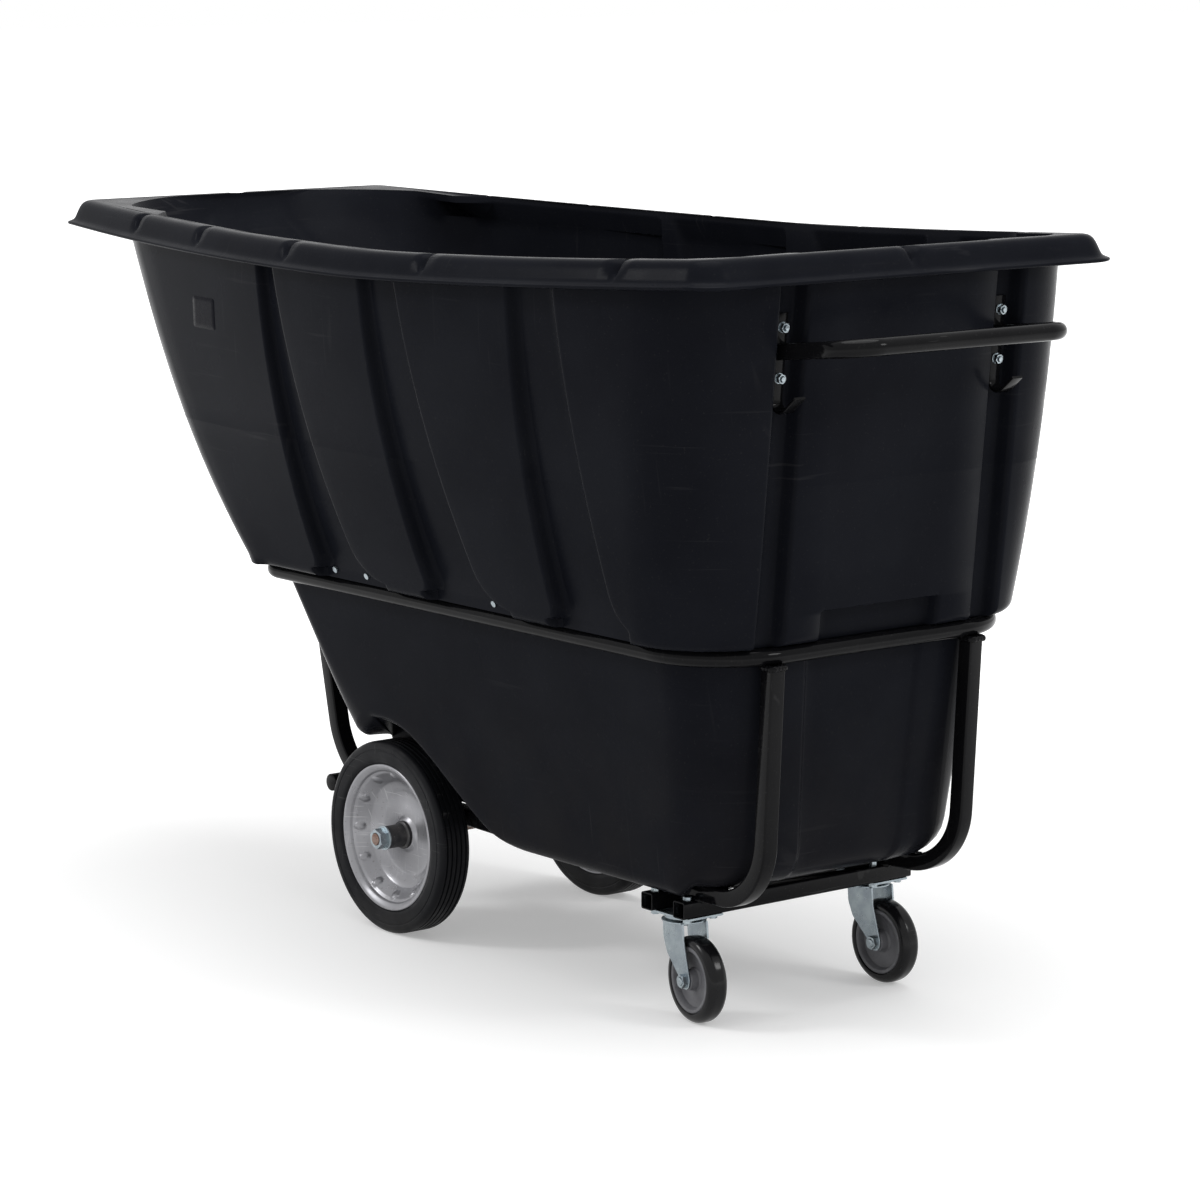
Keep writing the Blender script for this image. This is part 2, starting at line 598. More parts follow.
# Half outline of the lower body, from the ring (0) to the lower edge (1), then turned round that edge
def lowerRing(share, inset, turnedBy=0.0):
    v, a = lower, math.radians(turnedBy)
    pull, endPull, narrow = 1 - math.cos(a), v["endPull"], v["narrow"]
    frontR, rearR = v["edgeR"]
    roundTo = lambda x: mix(frontR, rearR, rearShare(x)) - inset
    zOf = lambda x: mix(t["ledgeZ"] - v["gap"], archZ(x) + inset + roundTo(x), share) - roundTo(x) * math.sin(a)
    halfAt = lambda z: t["bodyHalf"] - t["bodyTaper"] * (t["ledgeZ"] - z) - inset
    zn = float(zOf(np.array(-900.0)))
    ze = mix(t["ledgeZ"] - v["gap"], t["railTop"] + endPull, share) - (endPull - inset) * math.sin(a)
    xn = t["bodyNoseX"] + v["noseDraft"] * (t["ledgeZ"] - zn) + 1.2 * inset
    xe = t["bodyEndX"] - v["endDraft"] * (t["ledgeZ"] - ze) - inset
    rn, re = mix(t["bodyNoseR"], v["noseR"], share) - inset, t["bodyEndR"] - inset
    x0, x1 = xn + rn, xe - re
    rows = [rowsOf(xn, noseShare * (halfAt(zn) - rn), zn)]
    b = np.pi / 2 * arcShare
    x = xn + rn * (1 - np.cos(b))
    z = mix(zn, zOf(x), easeOver(arcShare))
    draw = (frontR - inset) * pull * np.sin(b)
    rows += [rowsOf(x + draw, halfAt(z) - rn * (1 - np.sin(b)) - draw, z)]
    x = mix(sideStations(x0, x1, footZ + 55), between(x0, x1, sideN), min(1, 1.5 * share))
    z = zOf(x)
    rows += [rowsOf(x, halfAt(z) - roundTo(x) * pull, z)]
    ye = halfAt(ze)
    b = mix(np.pi / 2, endTurn(mix(t["endFlat"], v["flatHalf"], share), ye, re), arcShare)
    z = mix(float(zOf(np.array(0.0))), ze, easeOver(arcShare))
    inward = mix(rearR - inset, v["flatHalf"] * narrow, arcShare) * pull
    rows += [rowsOf(x1 + re * np.cos(b) - endPull * pull * arcShare, halfAt(z) - re * (1 - np.sin(b)) - inward, z)]
    y = mix(endY, endLowY, share)
    middle = v["middleIn"] * (1 - pull) * bandShare(endY, -200, t["footBand"])
    rows += [rowsOf(x1 + endBow(y, ye, re) - endPull * pull - middle, y * (1 - narrow * pull), ze)]
    return np.concatenate(rows)


# Half outline of the underside: in from the lower edge to the channel between the side members
def underRing(step, inset):
    v, base = lower, lowerRing(1, inset, 90)
    i = np.arange(halfN)
    corner0 = noseN + arcN + sideN
    end0 = corner0 + arcN
    front = i < noseN + arcN
    rear = np.where(front, 0, rearShare(base[:, 0]))
    floorZ = mix(t["railTop"] + v["frontLift"], t["railTop"], rear) + inset
    lane = mix(*v["channelHalf"], rear) + v["lanes"][step] + np.where(base[:, 2] > floorZ, -inset, inset)
    low = floorZ if step else np.where(front, base[0, 2] - 3, base[:, 2])
    xn = t["bodyNoseX"] + v["noseDraft"] * (t["ledgeZ"] - low) + 1.2 * inset + (6 if step == 2 else 0)
    b = np.where(i < noseN, 0, np.pi / 2 * (i - noseN) / arcN)
    share = np.concatenate([noseShare, np.ones(halfN - noseN)])
    r = v["channelR"]
    noseY = np.where(i < noseN, share * (lane - r), lane - r * (1 - np.sin(b)))
    along = 64 * (i - noseN - arcN + 1) / sideN
    shift = np.where(i < corner0, 0, np.where(i < end0, (end0 - i) / 2 * 8 / arcN, 2 + 2 * step))
    restX = np.maximum(base[:, 0], xn + r + along) - shift
    restY = np.minimum(base[:, 1] * (1 - 0.01 * (step + 1)), lane)
    return rowsOf(np.where(front, xn + r * (1 - np.cos(b)), restX), np.where(front, noseY, restY), low)


# Half outline of the lip, d in from its edge and drop below the crest; cut is the depth of its notches
def rimRing(d, drop, cut):
    xn, xe = lipNoseX + d, t["crestEndX"] + t["lipReach"] - d
    rn, re = t["lipNoseR"] - 0.5 * d, t["lipEndR"] - 0.5 * d
    halfAt = lambda x: crestHalf(x) + t["lipReach"] - d
    x0, x1 = xn + rn, xe - re
    notch = cut * part01(1 - noseShare / 0.06)
    rows = [rowsOf(xn + notch, noseShare * (halfAt(xn) - rn), crestZ(xn) - drop - notch)]
    b = np.pi / 2 * arcShare
    x = xn + rn * (1 - np.cos(b))
    rows += [rowsOf(x, halfAt(x) - rn * (1 - np.sin(b)), crestZ(x) - drop)]
    x = rimStations(x0, x1)
    nearest = np.min(np.abs(x[:, None] - np.array(t["notches"])[None, :]), 1)
    notch = cut * part01(1 - nearest / t["notchHalf"])
    rows += [rowsOf(x, halfAt(x) - notch, crestZ(x) - drop - notch)]
    b = np.pi / 2 * (1 - arcShare)
    x = x1 + re * np.cos(b)
    rows += [rowsOf(x, halfAt(x) - re * (1 - np.sin(b)), crestZ(x) - drop)]
    y = (endY / endY[0]) * (halfAt(xe) - re)
    notch = cut * part01(1 - y / 10)
    rows += [rowsOf(xe - notch, y, crestZ(xe) - drop - notch)]
    return np.concatenate(rows)


# Inner edge of the rim: on the sides straight above the wall's stations, a fixed way in from the crest line plus a
# sixth of the depth; round the wide corners of the wall at nose and end
def innerRimRing(down):
    wallRing = upperRing(lambda x: crestZ(x) - down, 0)
    lipRing = rimRing(t["lipReach"] + t["rimFlat"], 0, 0)
    i = np.arange(halfN)
    side = (i >= noseN + arcN) & (i < noseN + arcN + sideN)
    cornerX = np.where(i < noseN + arcN, np.maximum(wallRing[:, 0] + 14, lipRing[:, 0]),
                       np.minimum(wallRing[:, 0] - 14, lipRing[:, 0]))
    x = np.where(side, wallRing[:, 0], cornerX)
    y = np.where(side, crestHalf(x) - t["rimFlat"] - down / 6, np.minimum(wallRing[:, 1], lipRing[:, 1]))
    return rowsOf(x, y, crestZ(x) - down)


# Height of a wall ring: a share of the way from under the lip down to the panel foot
def toFoot(share, drop=2.0):
    return lambda x: mix(crestZ(x) - t["lipDrop"] - drop, footZ + 62, share)


# A ring at one height all round
def level(z):
    return lambda x: z + 0 * x


lipProfile = [  # way in from the tip, drop below the crest, share of the notch depth
    (10, 41, 0), (4, 40, 0), (1, 39.2, 0), (0, 37.6, 0), (0, 36, 0), (1, 35, 0), (5, 33.4, 0), (9, 31.4, 0),
    (11.5, 28.5, 0.05), (13.5, 24, 0.2), (16, 18, 0.5), (18.8, 12, 0.85), (22, 7, 1), (25.5, 3.6, 1), (29.5, 1.5, 1),
    (34, 0.4, 0.9), (39, 0, 0.6), (43, 0.2, 0.2)]


# Every ring of the shell from the middle of the underside, up the outside, over the lip and down the inside
def shellRings():
    wall = t["wall"]
    rings = [underRing(k, 0) for k in (2, 1, 0)]
    rings += [lowerRing(1, 0, a) for a in (90, 75, 60, 45, 30, 15)]
    rings += [lowerRing(s, 0) for s in (1, 0.93, 0.85, 0.76, 0.66, 0.55, 0.44, 0.33, 0.22, 0.11, 0.03, 0)]
    ledge = lowerRing(0, 0)
    ledge[:, 2] = t["ledgeZ"]
    rings += [ledge]
    rings += [upperRing(level(t["ledgeZ"] + h), 0, p)
              for h, p in ((0, 22), (0.3, 14), (2, 8), (4.6, 4.6), (8, 2), (13, 0))]
    rings += [upperRing(level(footZ + h), 0) for h in (5, 10, 16, 22, 26, 28, 30, 32, 34, 42, 52)]
    seam = t["seam"]
    shares = np.array([1, 0.93, 0.86, 0.79, 0.72, seam + 0.006, seam + 0.002, seam - 0.002, seam - 0.006, 0.58, 0.5,
                       0.42, 0.34, 0.26, 0.18, 0.1, 0.04, 0])
    rings += [upperRing(toFoot(s), -t["seamProud"] if abs(s - seam) < 0.004 else 0) for s in shares]
    rings += [rimRing(d, drop, share * t["notchDepth"]) for d, drop, share in lipProfile]
    rings += [innerRimRing(d) for d in (0.6, 3, 7, 12)]
    rings += [upperRing(toFoot(s), wall) for s in (0, 0.04, 0.1, 0.2, 0.3, 0.4, 0.5, 0.6, 0.7, 0.8, 0.9, 1)]
    rings += [upperRing(level(footZ + h), wall) for h in (45, 34, 32, 30, 28, 26, 20, 12, 4)]
    ledgeIn = lowerRing(0, wall)
    ledgeIn[:, 2] = t["ledgeZ"] + wall
    rings += [upperRing(level(t["ledgeZ"] + wall), wall, 22), ledgeIn, lowerRing(0, wall)]
    rings += [lowerRing(s, wall) for s in (0.1, 0.25, 0.4, 0.55, 0.7, 0.85, 1)]
    rings += [lowerRing(1, wall, a) for a in (15, 30, 45, 60, 75, 90)]
    return rings + [underRing(k, wall) for k in (0, 1, 2)]


# One closed grid: half rings mirrored across the cart, joined ring to ring, with a fan at each end
def shellMesh():
    half = np.stack(shellRings())
    other = half[:, -2:0:-1]
    grid = np.concatenate([half * [1, -1, 1], other], 1)
    count, around = grid.shape[:2]
    points = np.concatenate([grid.reshape(-1, 3), [[-300, 0, t["railTop"]], [-300, 0, t["railTop"] + t["wall"]]]])
    here = np.arange(count * around).reshape(count, around)
    nextOne = np.roll(here, -1, 1)
    quads = np.stack([here[:-1], here[1:], nextOne[1:], nextOne[:-1]], 2).reshape(-1, 4)
    fans = np.concatenate([np.stack([here[0], nextOne[0], 0 * here[0] + count * around], 1),
                           np.stack([here[-1], 0 * here[0] + count * around + 1, nextOne[-1]], 1)])
    mesh = bpy.data.meshes.new("grid")
    mesh.from_pydata(toRow(points).tolist(), [], quads.tolist() + fans.tolist())
    return mesh


addPiece("hopperShell", [shellMesh()], "cart", "tub", ["hopper"], sharp=50.0)
print("hopper shell made")

labelPlate = {"from": (-1018.0, 941.0), "to": (-943.0, 990.0), "proud": 0.45, "corner": 5.0}


# A thin plate laid on the side wall: a rounded outline shrunk towards its middle, lifted a little off the wall
def labelMesh():
    v = labelPlate
    low, high = np.array(v["from"]), np.array(v["to"])
    outline = boxSection(*(high - low), v["corner"], 6)
    grid = []
    for shrink, lift in [(1, -0.6), (1, v["proud"] - 0.15)] + [(k, v["proud"]) for k in (0.992, 0.7, 0.35, 0.02)]:
        flat = (low + high) / 2 + outline * shrink
        grid.append(np.stack([flat[:, 0], -sideHalf(flat[:, 0], flat[:, 1]) - lift, flat[:, 1]], 1))
    return gridMesh(np.stack(grid), aroundSecond=True, capEnds=True)


addPiece("labelPlate", [labelMesh()], "cart", "plate")

ring = {"half": 300.0, "endX": 150.0, "noseX": -950.0, "endR": 127.0, "noseR": 50.0, "z": 560.0, "tubeR": 12.7}


# The ring: a round section carried round a level rectangle with arcs at its corners
def ringMesh():
    v = ring
    end, nose, half = v["endX"], v["noseX"], v["half"]
    line = filletLine([(end, half), (nose, half), (nose, -half), (end, -half)],
                      [v["endR"], v["noseR"], v["noseR"], v["endR"]], 24)
    path = np.concatenate([line, np.full((len(line), 1), v["z"])], 1)
    return sweptMesh(path, (0, 0, 1), ringSection(v["tubeR"], 40), closed=True)


addPiece("ringTube", [ringMesh()], "cart", "frame", ["ring_tube"])

sideBar = {"legX": 43.0, "legHalf": 183.2, "noseHalf": 135.0, "noseX": -872.0, "z": 195.6, "bendR": 97.5, "tube": 25.4,
           "corner": 3.2, "lean": 3.3, "tilt": 7.6, "noseLean": 1.0, "top": 547.3, "noseTop": 556.0}


# A side bar in one swept square section: up the leg, round its bend, along under the hopper, round the nose bend and up
def sideBarMesh(side):
    v = sideBar
    yaw = math.atan((v["legHalf"] - v["noseHalf"]) / (v["legX"] - v["noseX"]))
    length = (v["legX"] - v["noseX"]) / math.cos(yaw)
    legTurn, noseTurn = math.radians(90 - v["lean"]), math.radians(90 - v["noseLean"])
    r = v["bendR"]

    # An arc of the bend radius through a turn, then a straight run on from its end
    def bendAndRise(turn, rise):
        a = turn * np.arange(25) / 24
        arc = np.stack([r * np.sin(a), 0 * a, r * (1 - np.cos(a))], 1)
        return np.concatenate([arc, arc[-1:] + rise * np.array([[math.cos(turn), 0, math.sin(turn)]])])

    leg = bendAndRise(legTurn, (v["top"] - v["z"] - r * (1 - math.cos(legTurn))) / math.sin(legTurn))
    nose = bendAndRise(noseTurn, v["noseTop"] - v["z"] - r) * [-1, 1, 1]
    tilt = math.radians(v["tilt"])
    nose = np.stack([nose[:, 0] - length, nose[:, 2] * math.sin(tilt), nose[:, 2] * math.cos(tilt)], 1)
    path = np.concatenate([leg[::-1], nose])
    noseOut = [0, math.cos(tilt), -math.sin(tilt)]
    out = np.concatenate([np.tile([0, 1.0, 0], (len(leg), 1)), np.tile(noseOut, (len(nose), 1))])
    turn = np.array([[math.cos(yaw), math.sin(yaw), 0], [-math.sin(yaw), math.cos(yaw), 0], [0, 0, 1]])
    path, out = path @ turn + [v["legX"], v["legHalf"], v["z"]], out @ turn
    return sweptMesh(path * [1, side, 1], out * [1, side, 1], boxSection(v["tube"], v["tube"], v["corner"]))


# Half spacing of the side bars at a place along them: even from nose to leg
def barHalfAt(x):
    v = sideBar
    return mix(v["noseHalf"], v["legHalf"], (x - v["noseX"]) / (v["legX"] - v["noseX"]))


for side, hand in hands:
    addPiece("sideBar_" + hand, [sideBarMesh(side)], "cart", "frame", ["rail_" + hand])

baseTube = {"length": 441.0, "tube": 25.4, "wall": 2.0, "corner": 3.2, "z": 157.5, "depth": 98.0}


# A base tube: outside and inside of a square section joined at both open ends
def baseTubeMesh(x):
    v = baseTube
    half, z = v["length"] / 2, v["z"] + v["tube"] / 2
    outside = boxSection(v["tube"], v["tube"], v["corner"])
    inside = boxSection(v["tube"] - 2 * v["wall"], v["tube"] - 2 * v["wall"], v["corner"] - 1.6)
    rows = [(outside * 0.985, -half), (outside, -half + 0.5), (outside, half - 0.5), (outside * 0.985, half),
            (inside, half), (inside, -half)]
    grid = np.stack([np.stack([x + s[:, 0], np.full(len(s), y), z + s[:, 1]], 1) for s, y in rows])
    return closedMesh(grid)


for name, x in (("rear", -baseTube["tube"] / 2), ("front", -baseTube["depth"] + baseTube["tube"] / 2)):
    addPiece("baseTube_" + name, [baseTubeMesh(x)], "cart", "frame", ["base_tube_" + name])

stopBar = {"r": 14.0, "length": 346.0, "z": 194.5, "seat": 126.9}
stopX = sideBar["noseX"] - math.sqrt(stopBar["seat"] ** 2 - (sideBar["z"] + sideBar["bendR"] - stopBar["z"]) ** 2)


# Profile of a round bar from end to end, its edges chamfered in two steps
def barProfile(r, half, edge):
    return [(0.4, -half), (r - edge, -half), (r - 0.3 * edge, -half + 0.3 * edge), (r, -half + edge),
            (r, half - edge), (r - 0.3 * edge, half - 0.3 * edge), (r - edge, half), (0.4, half)]


addPiece("stopBar", [turnedMesh(barProfile(stopBar["r"], stopBar["length"] / 2, 1.2),
                                (stopX, 0, stopBar["z"]), (0, 1, 0), 64)], "cart", "frame", ["dump_stop_bar"])

weld = {"size": 4.5, "wobble": 0.9, "legReach": 15.5, "legOut": 7.0, "legZ": 546.0, "baseZ": 183.0}


# A weld bead: a lumpy round section carried round the foot of one tube on another; its size waves along the seam
def weldMesh(path):
    path = np.asarray(path, float)
    k = np.arange(len(path))
    size = weld["size"] + weld["wobble"] * np.sin(k * 1.9) * np.sin(k * 0.7 + 1)
    section = size[:, None, None] * ringSection(1.0, 10)[None]
    return sweptMesh(path, (0, 0, 1), section, closed=True)


# A closed square path with rounded corners round a centre, its straight runs cut into even steps
def squareLoop(centre, half, first, second, steps=14):
    corner = boxSection(2 * half, 2 * half, 4.0)
    share = np.linspace(0, 1, steps, endpoint=False)[:, None]
    line = np.concatenate([mix(here, after, share) if np.linalg.norm(here - after) > 5 else here[None]
                           for here, after in zip(corner, np.roll(corner, -1, 0))])
    return np.asarray(centre) + line[:, :1] * np.asarray(first) + line[:, 1:] * np.asarray(second)


# Beads where the legs meet the ring, and where the side bars lie on the base tubes
def frameWelds():
    v, beads = sideBar, []
    legTop = v["legX"] + v["bendR"] * math.sin(math.radians(90 - v["lean"])) + weld["legReach"]
    for side in (-1, 1):
        spots = [((legTop, side * (v["legHalf"] + weld["legOut"]), weld["legZ"]), 12.4)]
        spots += [((x, side * barHalfAt(x), weld["baseZ"]), 12.2) for x in (-12.7, -85.3)]
        beads += [weldMesh(squareLoop(spot, half, (1, 0, 0), (0, 1, 0.02))) for spot, half in spots]
    return beads


# The shoulder of a tyre: a quarter circle from its face out to its tread
def shoulderArc(r, face, radius, count):
    return [(r - radius + radius * math.sin(q), face - radius + radius * math.cos(q))
            for q in np.pi / 2 * np.linspace(0, 1, count)]


# A profile and its mirror image about the middle of the wheel
def bothSides(half):
    return half + [(p, -q) for p, q in half[::-1]]


wheel = {"x": -721.0, "z": 152.4, "r": 152.4, "face": 232.0, "width": 56.0, "bead": 116.0, "shoulder": 9.0,
         "ribs": 5, "ribGap": 3.0, "ribDepth": 3.0, "dimples": 12, "dimpleHigh": 4.2, "dimpleR": 6.8}


# Tyre profile: bead, sidewall with a faint moulded ring, round shoulder, tread with fine grooves, and back
def tyreProfile():
    v = wheel
    near, far = v["face"], v["face"] - v["width"]
    s, r, bead, rib, gap = v["shoulder"], v["r"], v["bead"], v["ribDepth"] - 0.1, v["ribGap"]
    outer = [(bead + 0.2, near - 5), (bead + 2, near - 2.2), (bead + 5, near - 0.6), (bead + 9, near),
             (r - 16, near), (r - 15, near - 0.7), (r - 13.5, near - 0.7), (r - 12.5, near)]
    outer += shoulderArc(r, near, s, 9)
    pitch = (v["width"] - 2 * s - gap) / (v["ribs"] - 1)
    tread = []
    for i in range(v["ribs"]):
        y = near - s - i * pitch - 0.01
        tread += [(r, y), (r - 0.4, y - 0.15), (r - rib, y - 0.5), (r - rib, y - gap + 0.5),
                  (r - 0.4, y - gap + 0.15), (r, y - gap)]
    inner = [(p, near + far - q) for p, q in outer[::-1]]
    return outer[:-1] + tread + inner[1:] + [(bead + 0.2, (near + far) / 2)]


# Rim profile: hub seat, shallow pressed disc, step, steep cone up to the flange bands, rolled lip, drum and back
def rimProfile():
    f, r = wheel["face"], wheel["bead"]
    disc = f - 43
    cone = [(mix(84.5, r - 17, s), mix(f - 33.5, f - 15, s)) for s in np.linspace(0, 1, 22)]
    pressed = [(18, 6), (21, 6), (24, 4.6), (27, 1.6), (30, 0), (60, 0), (66, 0.5), (69, 1.8), (75, 4.4), (78, 5.4)]
    flange = [(15, 13.2), (12.6, 12.2), (12, 11.4), (11.2, 8), (10, 6.6), (7, 4.4), (5, 2.9), (3, 2), (1, 2.1), (0, 3),
              (0, 28), (0, 53), (3, 53), (3, 15), (17, 18)]
    return ([(p, disc + q) for p, q in pressed] + [(80.5, f - 36), (82.5, f - 35)] + cone
            + [(r - p, f - q) for p, q in flange]
            + [(86, f - 37), (79, disc + 2), (68, disc - 3), (31, disc - 3), (18, disc + 2)])


# Raised dimples: each is a part of a ball standing out of the cone, every 30 degrees round one circle
def dimpleRipple(radius, angle):
    v = wheel
    ringR = v["bead"] - 21.5
    step = 2 * np.pi / v["dimples"]
    off = (angle + step / 2) % step - step / 2
    away = np.hypot((radius - ringR) * 1.25, off * radius)
    shape = np.where(away < v["dimpleR"], np.sqrt(np.maximum(0, 1 - (away / v["dimpleR"]) ** 2)), 0)
    return v["dimpleHigh"] * shape * (np.arange(radius.shape[0]) < 36)[:, None]


# Hub tube: a bore on the axle, a collar behind the disc, and a plain tube out to the face
def hubProfile():
    rows = [(9.575, 58), (17.2, 58), (18, 57), (18, 38.5), (21.4, 38.2), (22, 37.6), (22, 32.4), (21.2, 31.6),
            (20.4, 31.2), (18.8, 30.4), (18, 28.5), (18, 1.4), (17.2, 0), (10.4, 0), (9.575, 0.8)]
    return [(p, wheel["face"] - q) for p, q in rows]


# A washer from low to high along the axis, its edges broken by half a millimetre
def washerProfile(bore, r, low, high):
    return [(bore, low), (r - 0.5, low), (r, low + 0.5), (r, high - 0.6), (r - 0.6, high), (bore + 0.3, high),
            (bore, high - 0.3)]


hubAt = (wheel["x"], 0, wheel["z"])
for side, hand in hands:
    out = (0, side, 0)
    body = "wheel_" + hand
    addPiece("tyre_ribbed_" + hand, [turnedMesh(tyreProfile(), hubAt, out, 160)], body, "tyre",
             ["tyre_" + hand], 30.0)
    addPiece("rim_dished_" + hand, [turnedMesh(rimProfile(), hubAt, out, 360, dimpleRipple)], body, "rim",
             ["rim_" + hand], 38.0)
    addPiece("hub_tube_" + hand, [turnedMesh(hubProfile(), hubAt, out, 72)], body, "hub",
             ["hub_" + hand])

axleEnd = {"r": 9.5, "bore": 9.51, "half": 251.0, "chamfer": 1.6, "nutCorners": 16.2, "nutHeight": 14.0}
faceY = wheel["face"] + 0.3
bracketY = barHalfAt(wheel["x"])
addPiece("axleRod", [turnedMesh(barProfile(axleEnd["r"], axleEnd["half"], axleEnd["chamfer"]),
                                hubAt, (0, 1, 0), 48)], "cart", "axle", ["axle"])
addPiece("axleWashers", [turnedMesh(washerProfile(axleEnd["bore"], r, low, high), hubAt,
                                    (0, side, 0), 64)
                         for side in (-1, 1)
                         for r, low, high in ((19.5, faceY, faceY + 3), (15.5, bracketY + 4, wheel["face"] - 58.3))],
         "cart", "zinc", ["axle_washers"])
addPiece("axleNuts", [hexMesh((hubAt[0], side * (faceY + 3), hubAt[2]), (0, side, 0), axleEnd["nutCorners"],
                              axleEnd["nutHeight"], axleEnd["bore"], 0.35) for side in (-1, 1)],
         "cart", "zinc", ["axle_nuts"])
print("main wheels and axle made")

caster = {"r": 63.5, "width": 32.0, "trail": 37.0, "half": 180.0, "kingX": -49.0, "leftTurn": -8.0, "coreR": 49.0,
          "shoulder": 12.0, "forkIn": 19.0, "forkT": 3.0, "crownZ": 143.5, "plateZ": 154.5, "pinR": 6.0}


# Places on a caster: the frame turned about the king pin, x along the trail
def casterFrame(side):
    turn = math.radians(caster["leftTurn"]) if side < 0 else 0.0
    along = np.array([math.cos(turn), math.sin(turn), 0])
    across = np.array([-math.sin(turn), math.cos(turn), 0])
    king = np.array([caster["kingX"], side * caster["half"], 0])
    return king, along, across


# Caster tread: flat in the middle, a quarter circle at each shoulder, and down to the core
def treadProfile():
    v = caster
    s, r, h = v["shoulder"], v["r"], v["width"] / 2
    return bothSides([(v["coreR"] + 0.05, h - 1.2), (v["coreR"] + 1.2, h)] + shoulderArc(r, h, s, 12)[:-1]
                     + [(r, h - s)])


# Caster core: hub out to the fork, a thin web, a step and the seat of the tread, the same on both faces
def coreProfile():
    v = caster
    h, r, hub = v["width"] / 2, v["coreR"], v["forkIn"] - 0.4
    return bothSides([(6.05, hub), (13, hub), (14.4, hub - 1), (15, h - 1), (16, 7), (18, 5), (36, 4.2), (40.5, 6),
                      (42, h - 3.5), (43.4, h - 1.4), (45, h - 1), (r - 1.4, h - 1), (r, h - 2.4)])


# One fork leg: its outline as a closed line, grown inward by steps to round its edges, on both faces of the plate
def forkLegMesh(side, hand):
    king, along, across = casterFrame(side)
    v = caster
    top, r = v["crownZ"] + 2, v["r"]
    outline = filletLine([(-24, top), (30, top), (33, 120), (v["trail"] + 13, r + 2), (v["trail"] + 9, r - 13),
                          (v["trail"] - 9, r - 13), (v["trail"] - 13, r), (-12, 96), (-22, 118)],
                         [0, 0, 18, 14, 10, 10, 14, 14, 20], 6)
    middle = outline.mean(0)
    inner = lambda d: outline + (middle - outline) / np.linalg.norm(middle - outline, axis=1)[:, None] * d
    low, high = v["forkIn"], v["forkIn"] + v["forkT"]
    rows = [(inner(1.0), low), (outline, low + 0.9), (outline, high - 0.9), (inner(1.0), high)]
    grid = np.stack([king + p[:, :1] * along + hand * y * across + p[:, 1:] * np.array([0, 0, 1]) for p, y in rows])
    return gridMesh(grid, aroundSecond=True, capEnds=True)


crownRows = [(6.05, 0), (31, 0), (33, 0.8), (33, 2.4), (31.5, 3), (28.5, 3.2), (26.5, 4.2), (25.5, 5.7), (6.05, 5.7)]
raceRows = [(6, -5), (27, -5), (28.6, -4.4), (29, -3), (29, -1.6), (27.6, -0.8), (27.6, 0.2), (6, 0.2)]


# A pressed ring of the swivel head, the crown over the legs or the raceway under the plate, turned about the king pin
def swivelMesh(side, base, rows):
    return turnedMesh([(p, base + q) for p, q in rows], casterFrame(side)[0], (0, 0, 1), 72)


for side, hand in hands:
    king, along, across = casterFrame(side)
    pin = king + caster["trail"] * along + [0, 0, caster["r"]]
    body = "caster_wheel_" + hand
    addPiece("tread_round_" + hand, [turnedMesh(treadProfile(), pin, across, 128)], body, "caster_tread",
             ["caster_tread_" + hand])
    addPiece("core_moulded_" + hand, [turnedMesh(coreProfile(), pin, across, 96)], body, "caster_core",
             ["caster_core_" + hand])
    addPiece("fork_legs_" + hand, [forkLegMesh(side, h) for h in (-1, 1)]
             + [swivelMesh(side, caster["crownZ"], crownRows)],
             "caster_" + hand, "zinc", ["caster_fork_" + hand], 30.0)
    reach = caster["forkIn"] + caster["forkT"]
    addPiece("pin_bolt_" + hand, [turnedMesh(barProfile(caster["pinR"], reach + 9, 1.0), pin, across, 40)]
             + [hexMesh(pin + h * reach * across, h * across, 10.5, 7.5, 6.01, 0.2) for h in (-1, 1)],
             "caster_" + hand, "zinc", ["caster_pin_" + hand])
    addPiece("raceway_" + hand, [swivelMesh(side, caster["plateZ"], raceRows)], "cart", "zinc")
print("casters made")

handle = {"halfY": 205.5, "gripZ": 991.0, "crossZ": 1007.0, "crossX": 335.0, "bendR": 50.0, "tubeR": 12.7,
          "squareRun": 95.0, "squareBlend": 25.0, "squarePower": 7.0, "squareFill": 0.93}
strap = {"wide": 20.0, "thick": 4.0, "top": 1045.0, "foot": 907.0, "hookR": 18.0, "lip": 30.0, "bolts": (1025.5, 954.3)}
lean = math.atan(t["endDraft"])
grooveAt = float(endX(handle["gripZ"])) - t["panelFoot"] + 0.1
upStrap = np.array([math.sin(lean), 0, math.cos(lean)])
offStrap = np.array([math.cos(lean), 0, -math.sin(lean)])


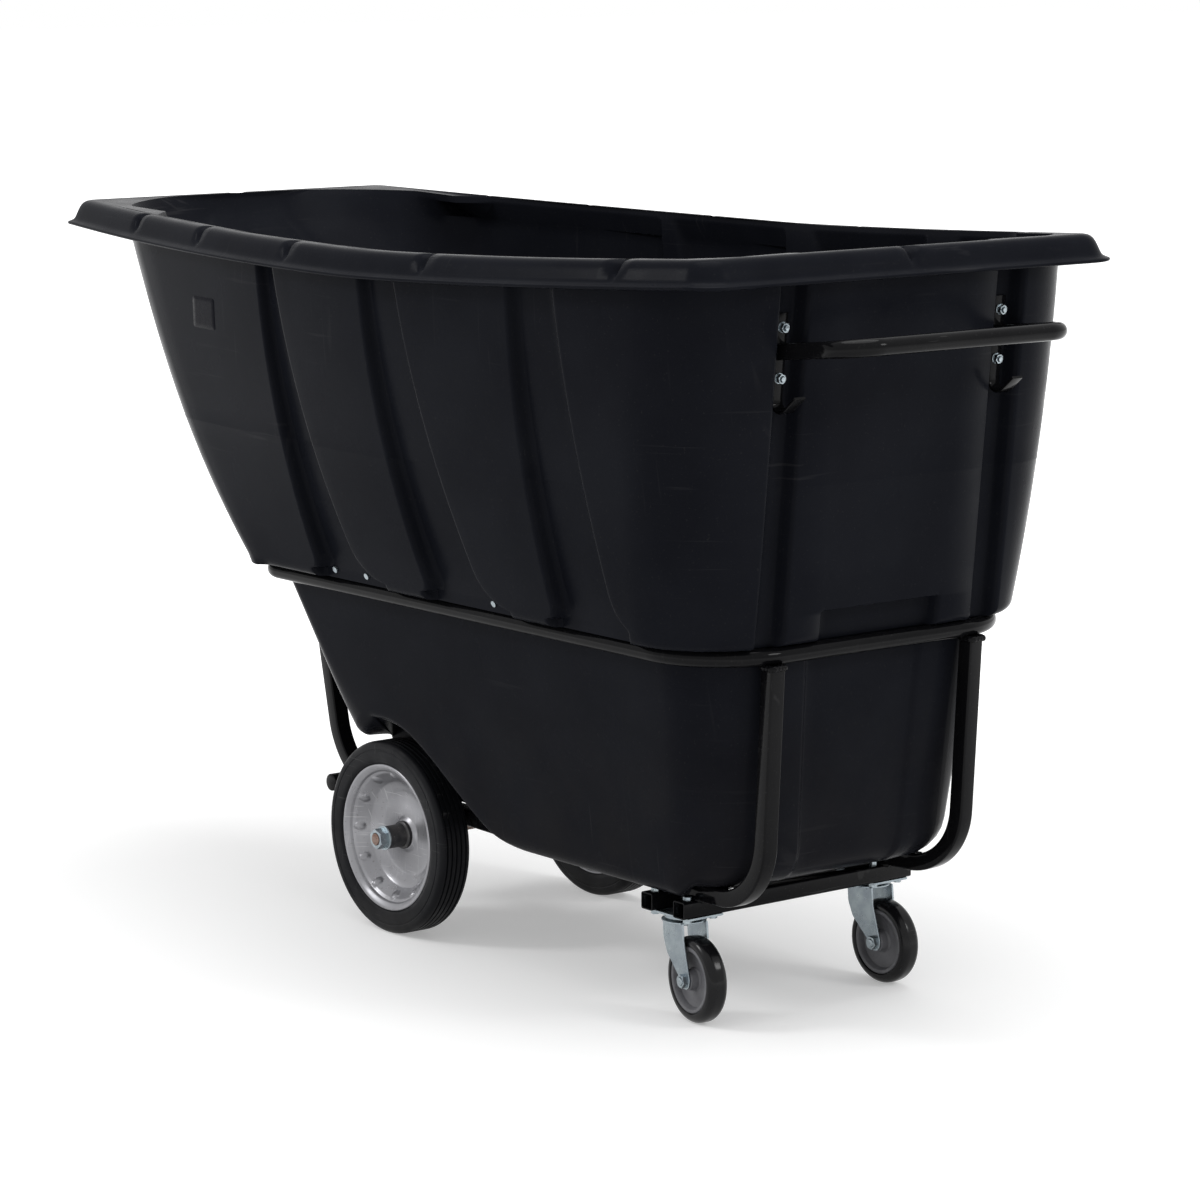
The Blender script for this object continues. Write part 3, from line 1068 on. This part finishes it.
# The push handle: from one strap out, round two bends and back; the section is square near the straps, round beyond
def handleMesh():
    v = handle
    x0 = grooveAt + strap["thick"]
    rise = (v["crossZ"] - v["gripZ"]) / (v["crossX"] - x0)
    slope = math.hypot(1, rise)
    half, reach = v["halfY"], (v["crossX"] - x0) * slope
    line = filletLine([(0, half), (reach, half), (reach, -half), (0, -half)], [0, v["bendR"], v["bendR"], 0], 20,
                      closed=False)
    run, blend = v["squareRun"], v["squareBlend"]
    extra = np.minimum([run * 0.5, run, run + blend * 0.5, run + blend], reach - v["bendR"] - 4)
    first = np.stack([extra, np.full(4, half)], 1)
    line = np.concatenate([line[:1], first, line[1:-1], first[::-1] * [1, -1], line[-1:]])
    path = np.stack([x0 + line[:, 0] / slope, line[:, 1], v["gripZ"] + line[:, 0] / slope * rise], 1)
    section = np.repeat(ringSection(v["tubeR"], 48)[None], len(path), 0)
    power, unit = v["squarePower"], ringSection(1.0, 48)
    square = (v["tubeR"] / (np.abs(unit) ** power).sum(1) ** (1 / power))[:, None] * unit * v["squareFill"]
    share = easeOver((run + blend - line[:, 0]) / blend)
    return sweptMesh(path, (0, 0, 1), mix(section, square[None], share[:, None, None]))


# A hook strap: flat bar down the groove of the end wall, then bent out and up
def strapMesh(side):
    v = strap
    r = v["hookR"] - v["thick"] / 2
    a = np.radians(np.linspace(180, 315, 22))
    footZ0 = v["foot"] + v["hookR"] - handle["gripZ"]
    straight = np.stack([np.full(6, v["thick"] / 2), np.linspace(v["top"] - handle["gripZ"], footZ0 + 2, 6)], 1)
    arc = np.stack([v["hookR"] + r * np.cos(a), footZ0 + r * np.sin(a)], 1)
    up45 = np.array([math.cos(math.pi / 4), math.sin(math.pi / 4)])
    lip = arc[-1] + np.linspace(0.2, 1, 4)[:, None] * v["lip"] * up45
    line = np.concatenate([straight, arc, lip])
    foot = np.array([grooveAt, side * handle["halfY"], handle["gripZ"]])
    path = foot + line[:, :1] * offStrap + line[:, 1:] * upStrap
    return sweptMesh(path, (0, 1, 0), boxSection(v["wide"], v["thick"], 1.1, 3))


addPiece("pushHandle", [handleMesh()], "cart", "frame", ["handle_bar"])
for side, hand in hands:
    addPiece("hookStrap_" + hand, [strapMesh(side)], "cart", "frame", ["strap_" + hand])
boltSpots = [np.array([grooveAt, side * handle["halfY"], handle["gripZ"]]) + (z - handle["gripZ"]) * upStrap
             for side in (-1, 1) for z in strap["bolts"]]
addPiece("strapNuts", [turnedMesh(washerProfile(4.01, 8, 4, 5.6), spot, offStrap, 40) for spot in boltSpots]
         + [hexMesh(spot + 5.6 * offStrap, offStrap, 7.2, 6.5, 4.01, 0.3 * k)
            for k, spot in enumerate(boltSpots)]
         + [turnedMesh(barProfile(4.0, 7.5, 0.8), spot + 7.5 * offStrap, offStrap, 24) for spot in boltSpots],
         "cart", "zinc", ["strap_bolts"])
addPiece("weldBeads", frameWelds(), "cart", "frame", sharp=80.0)
print("handle, straps and welds made")
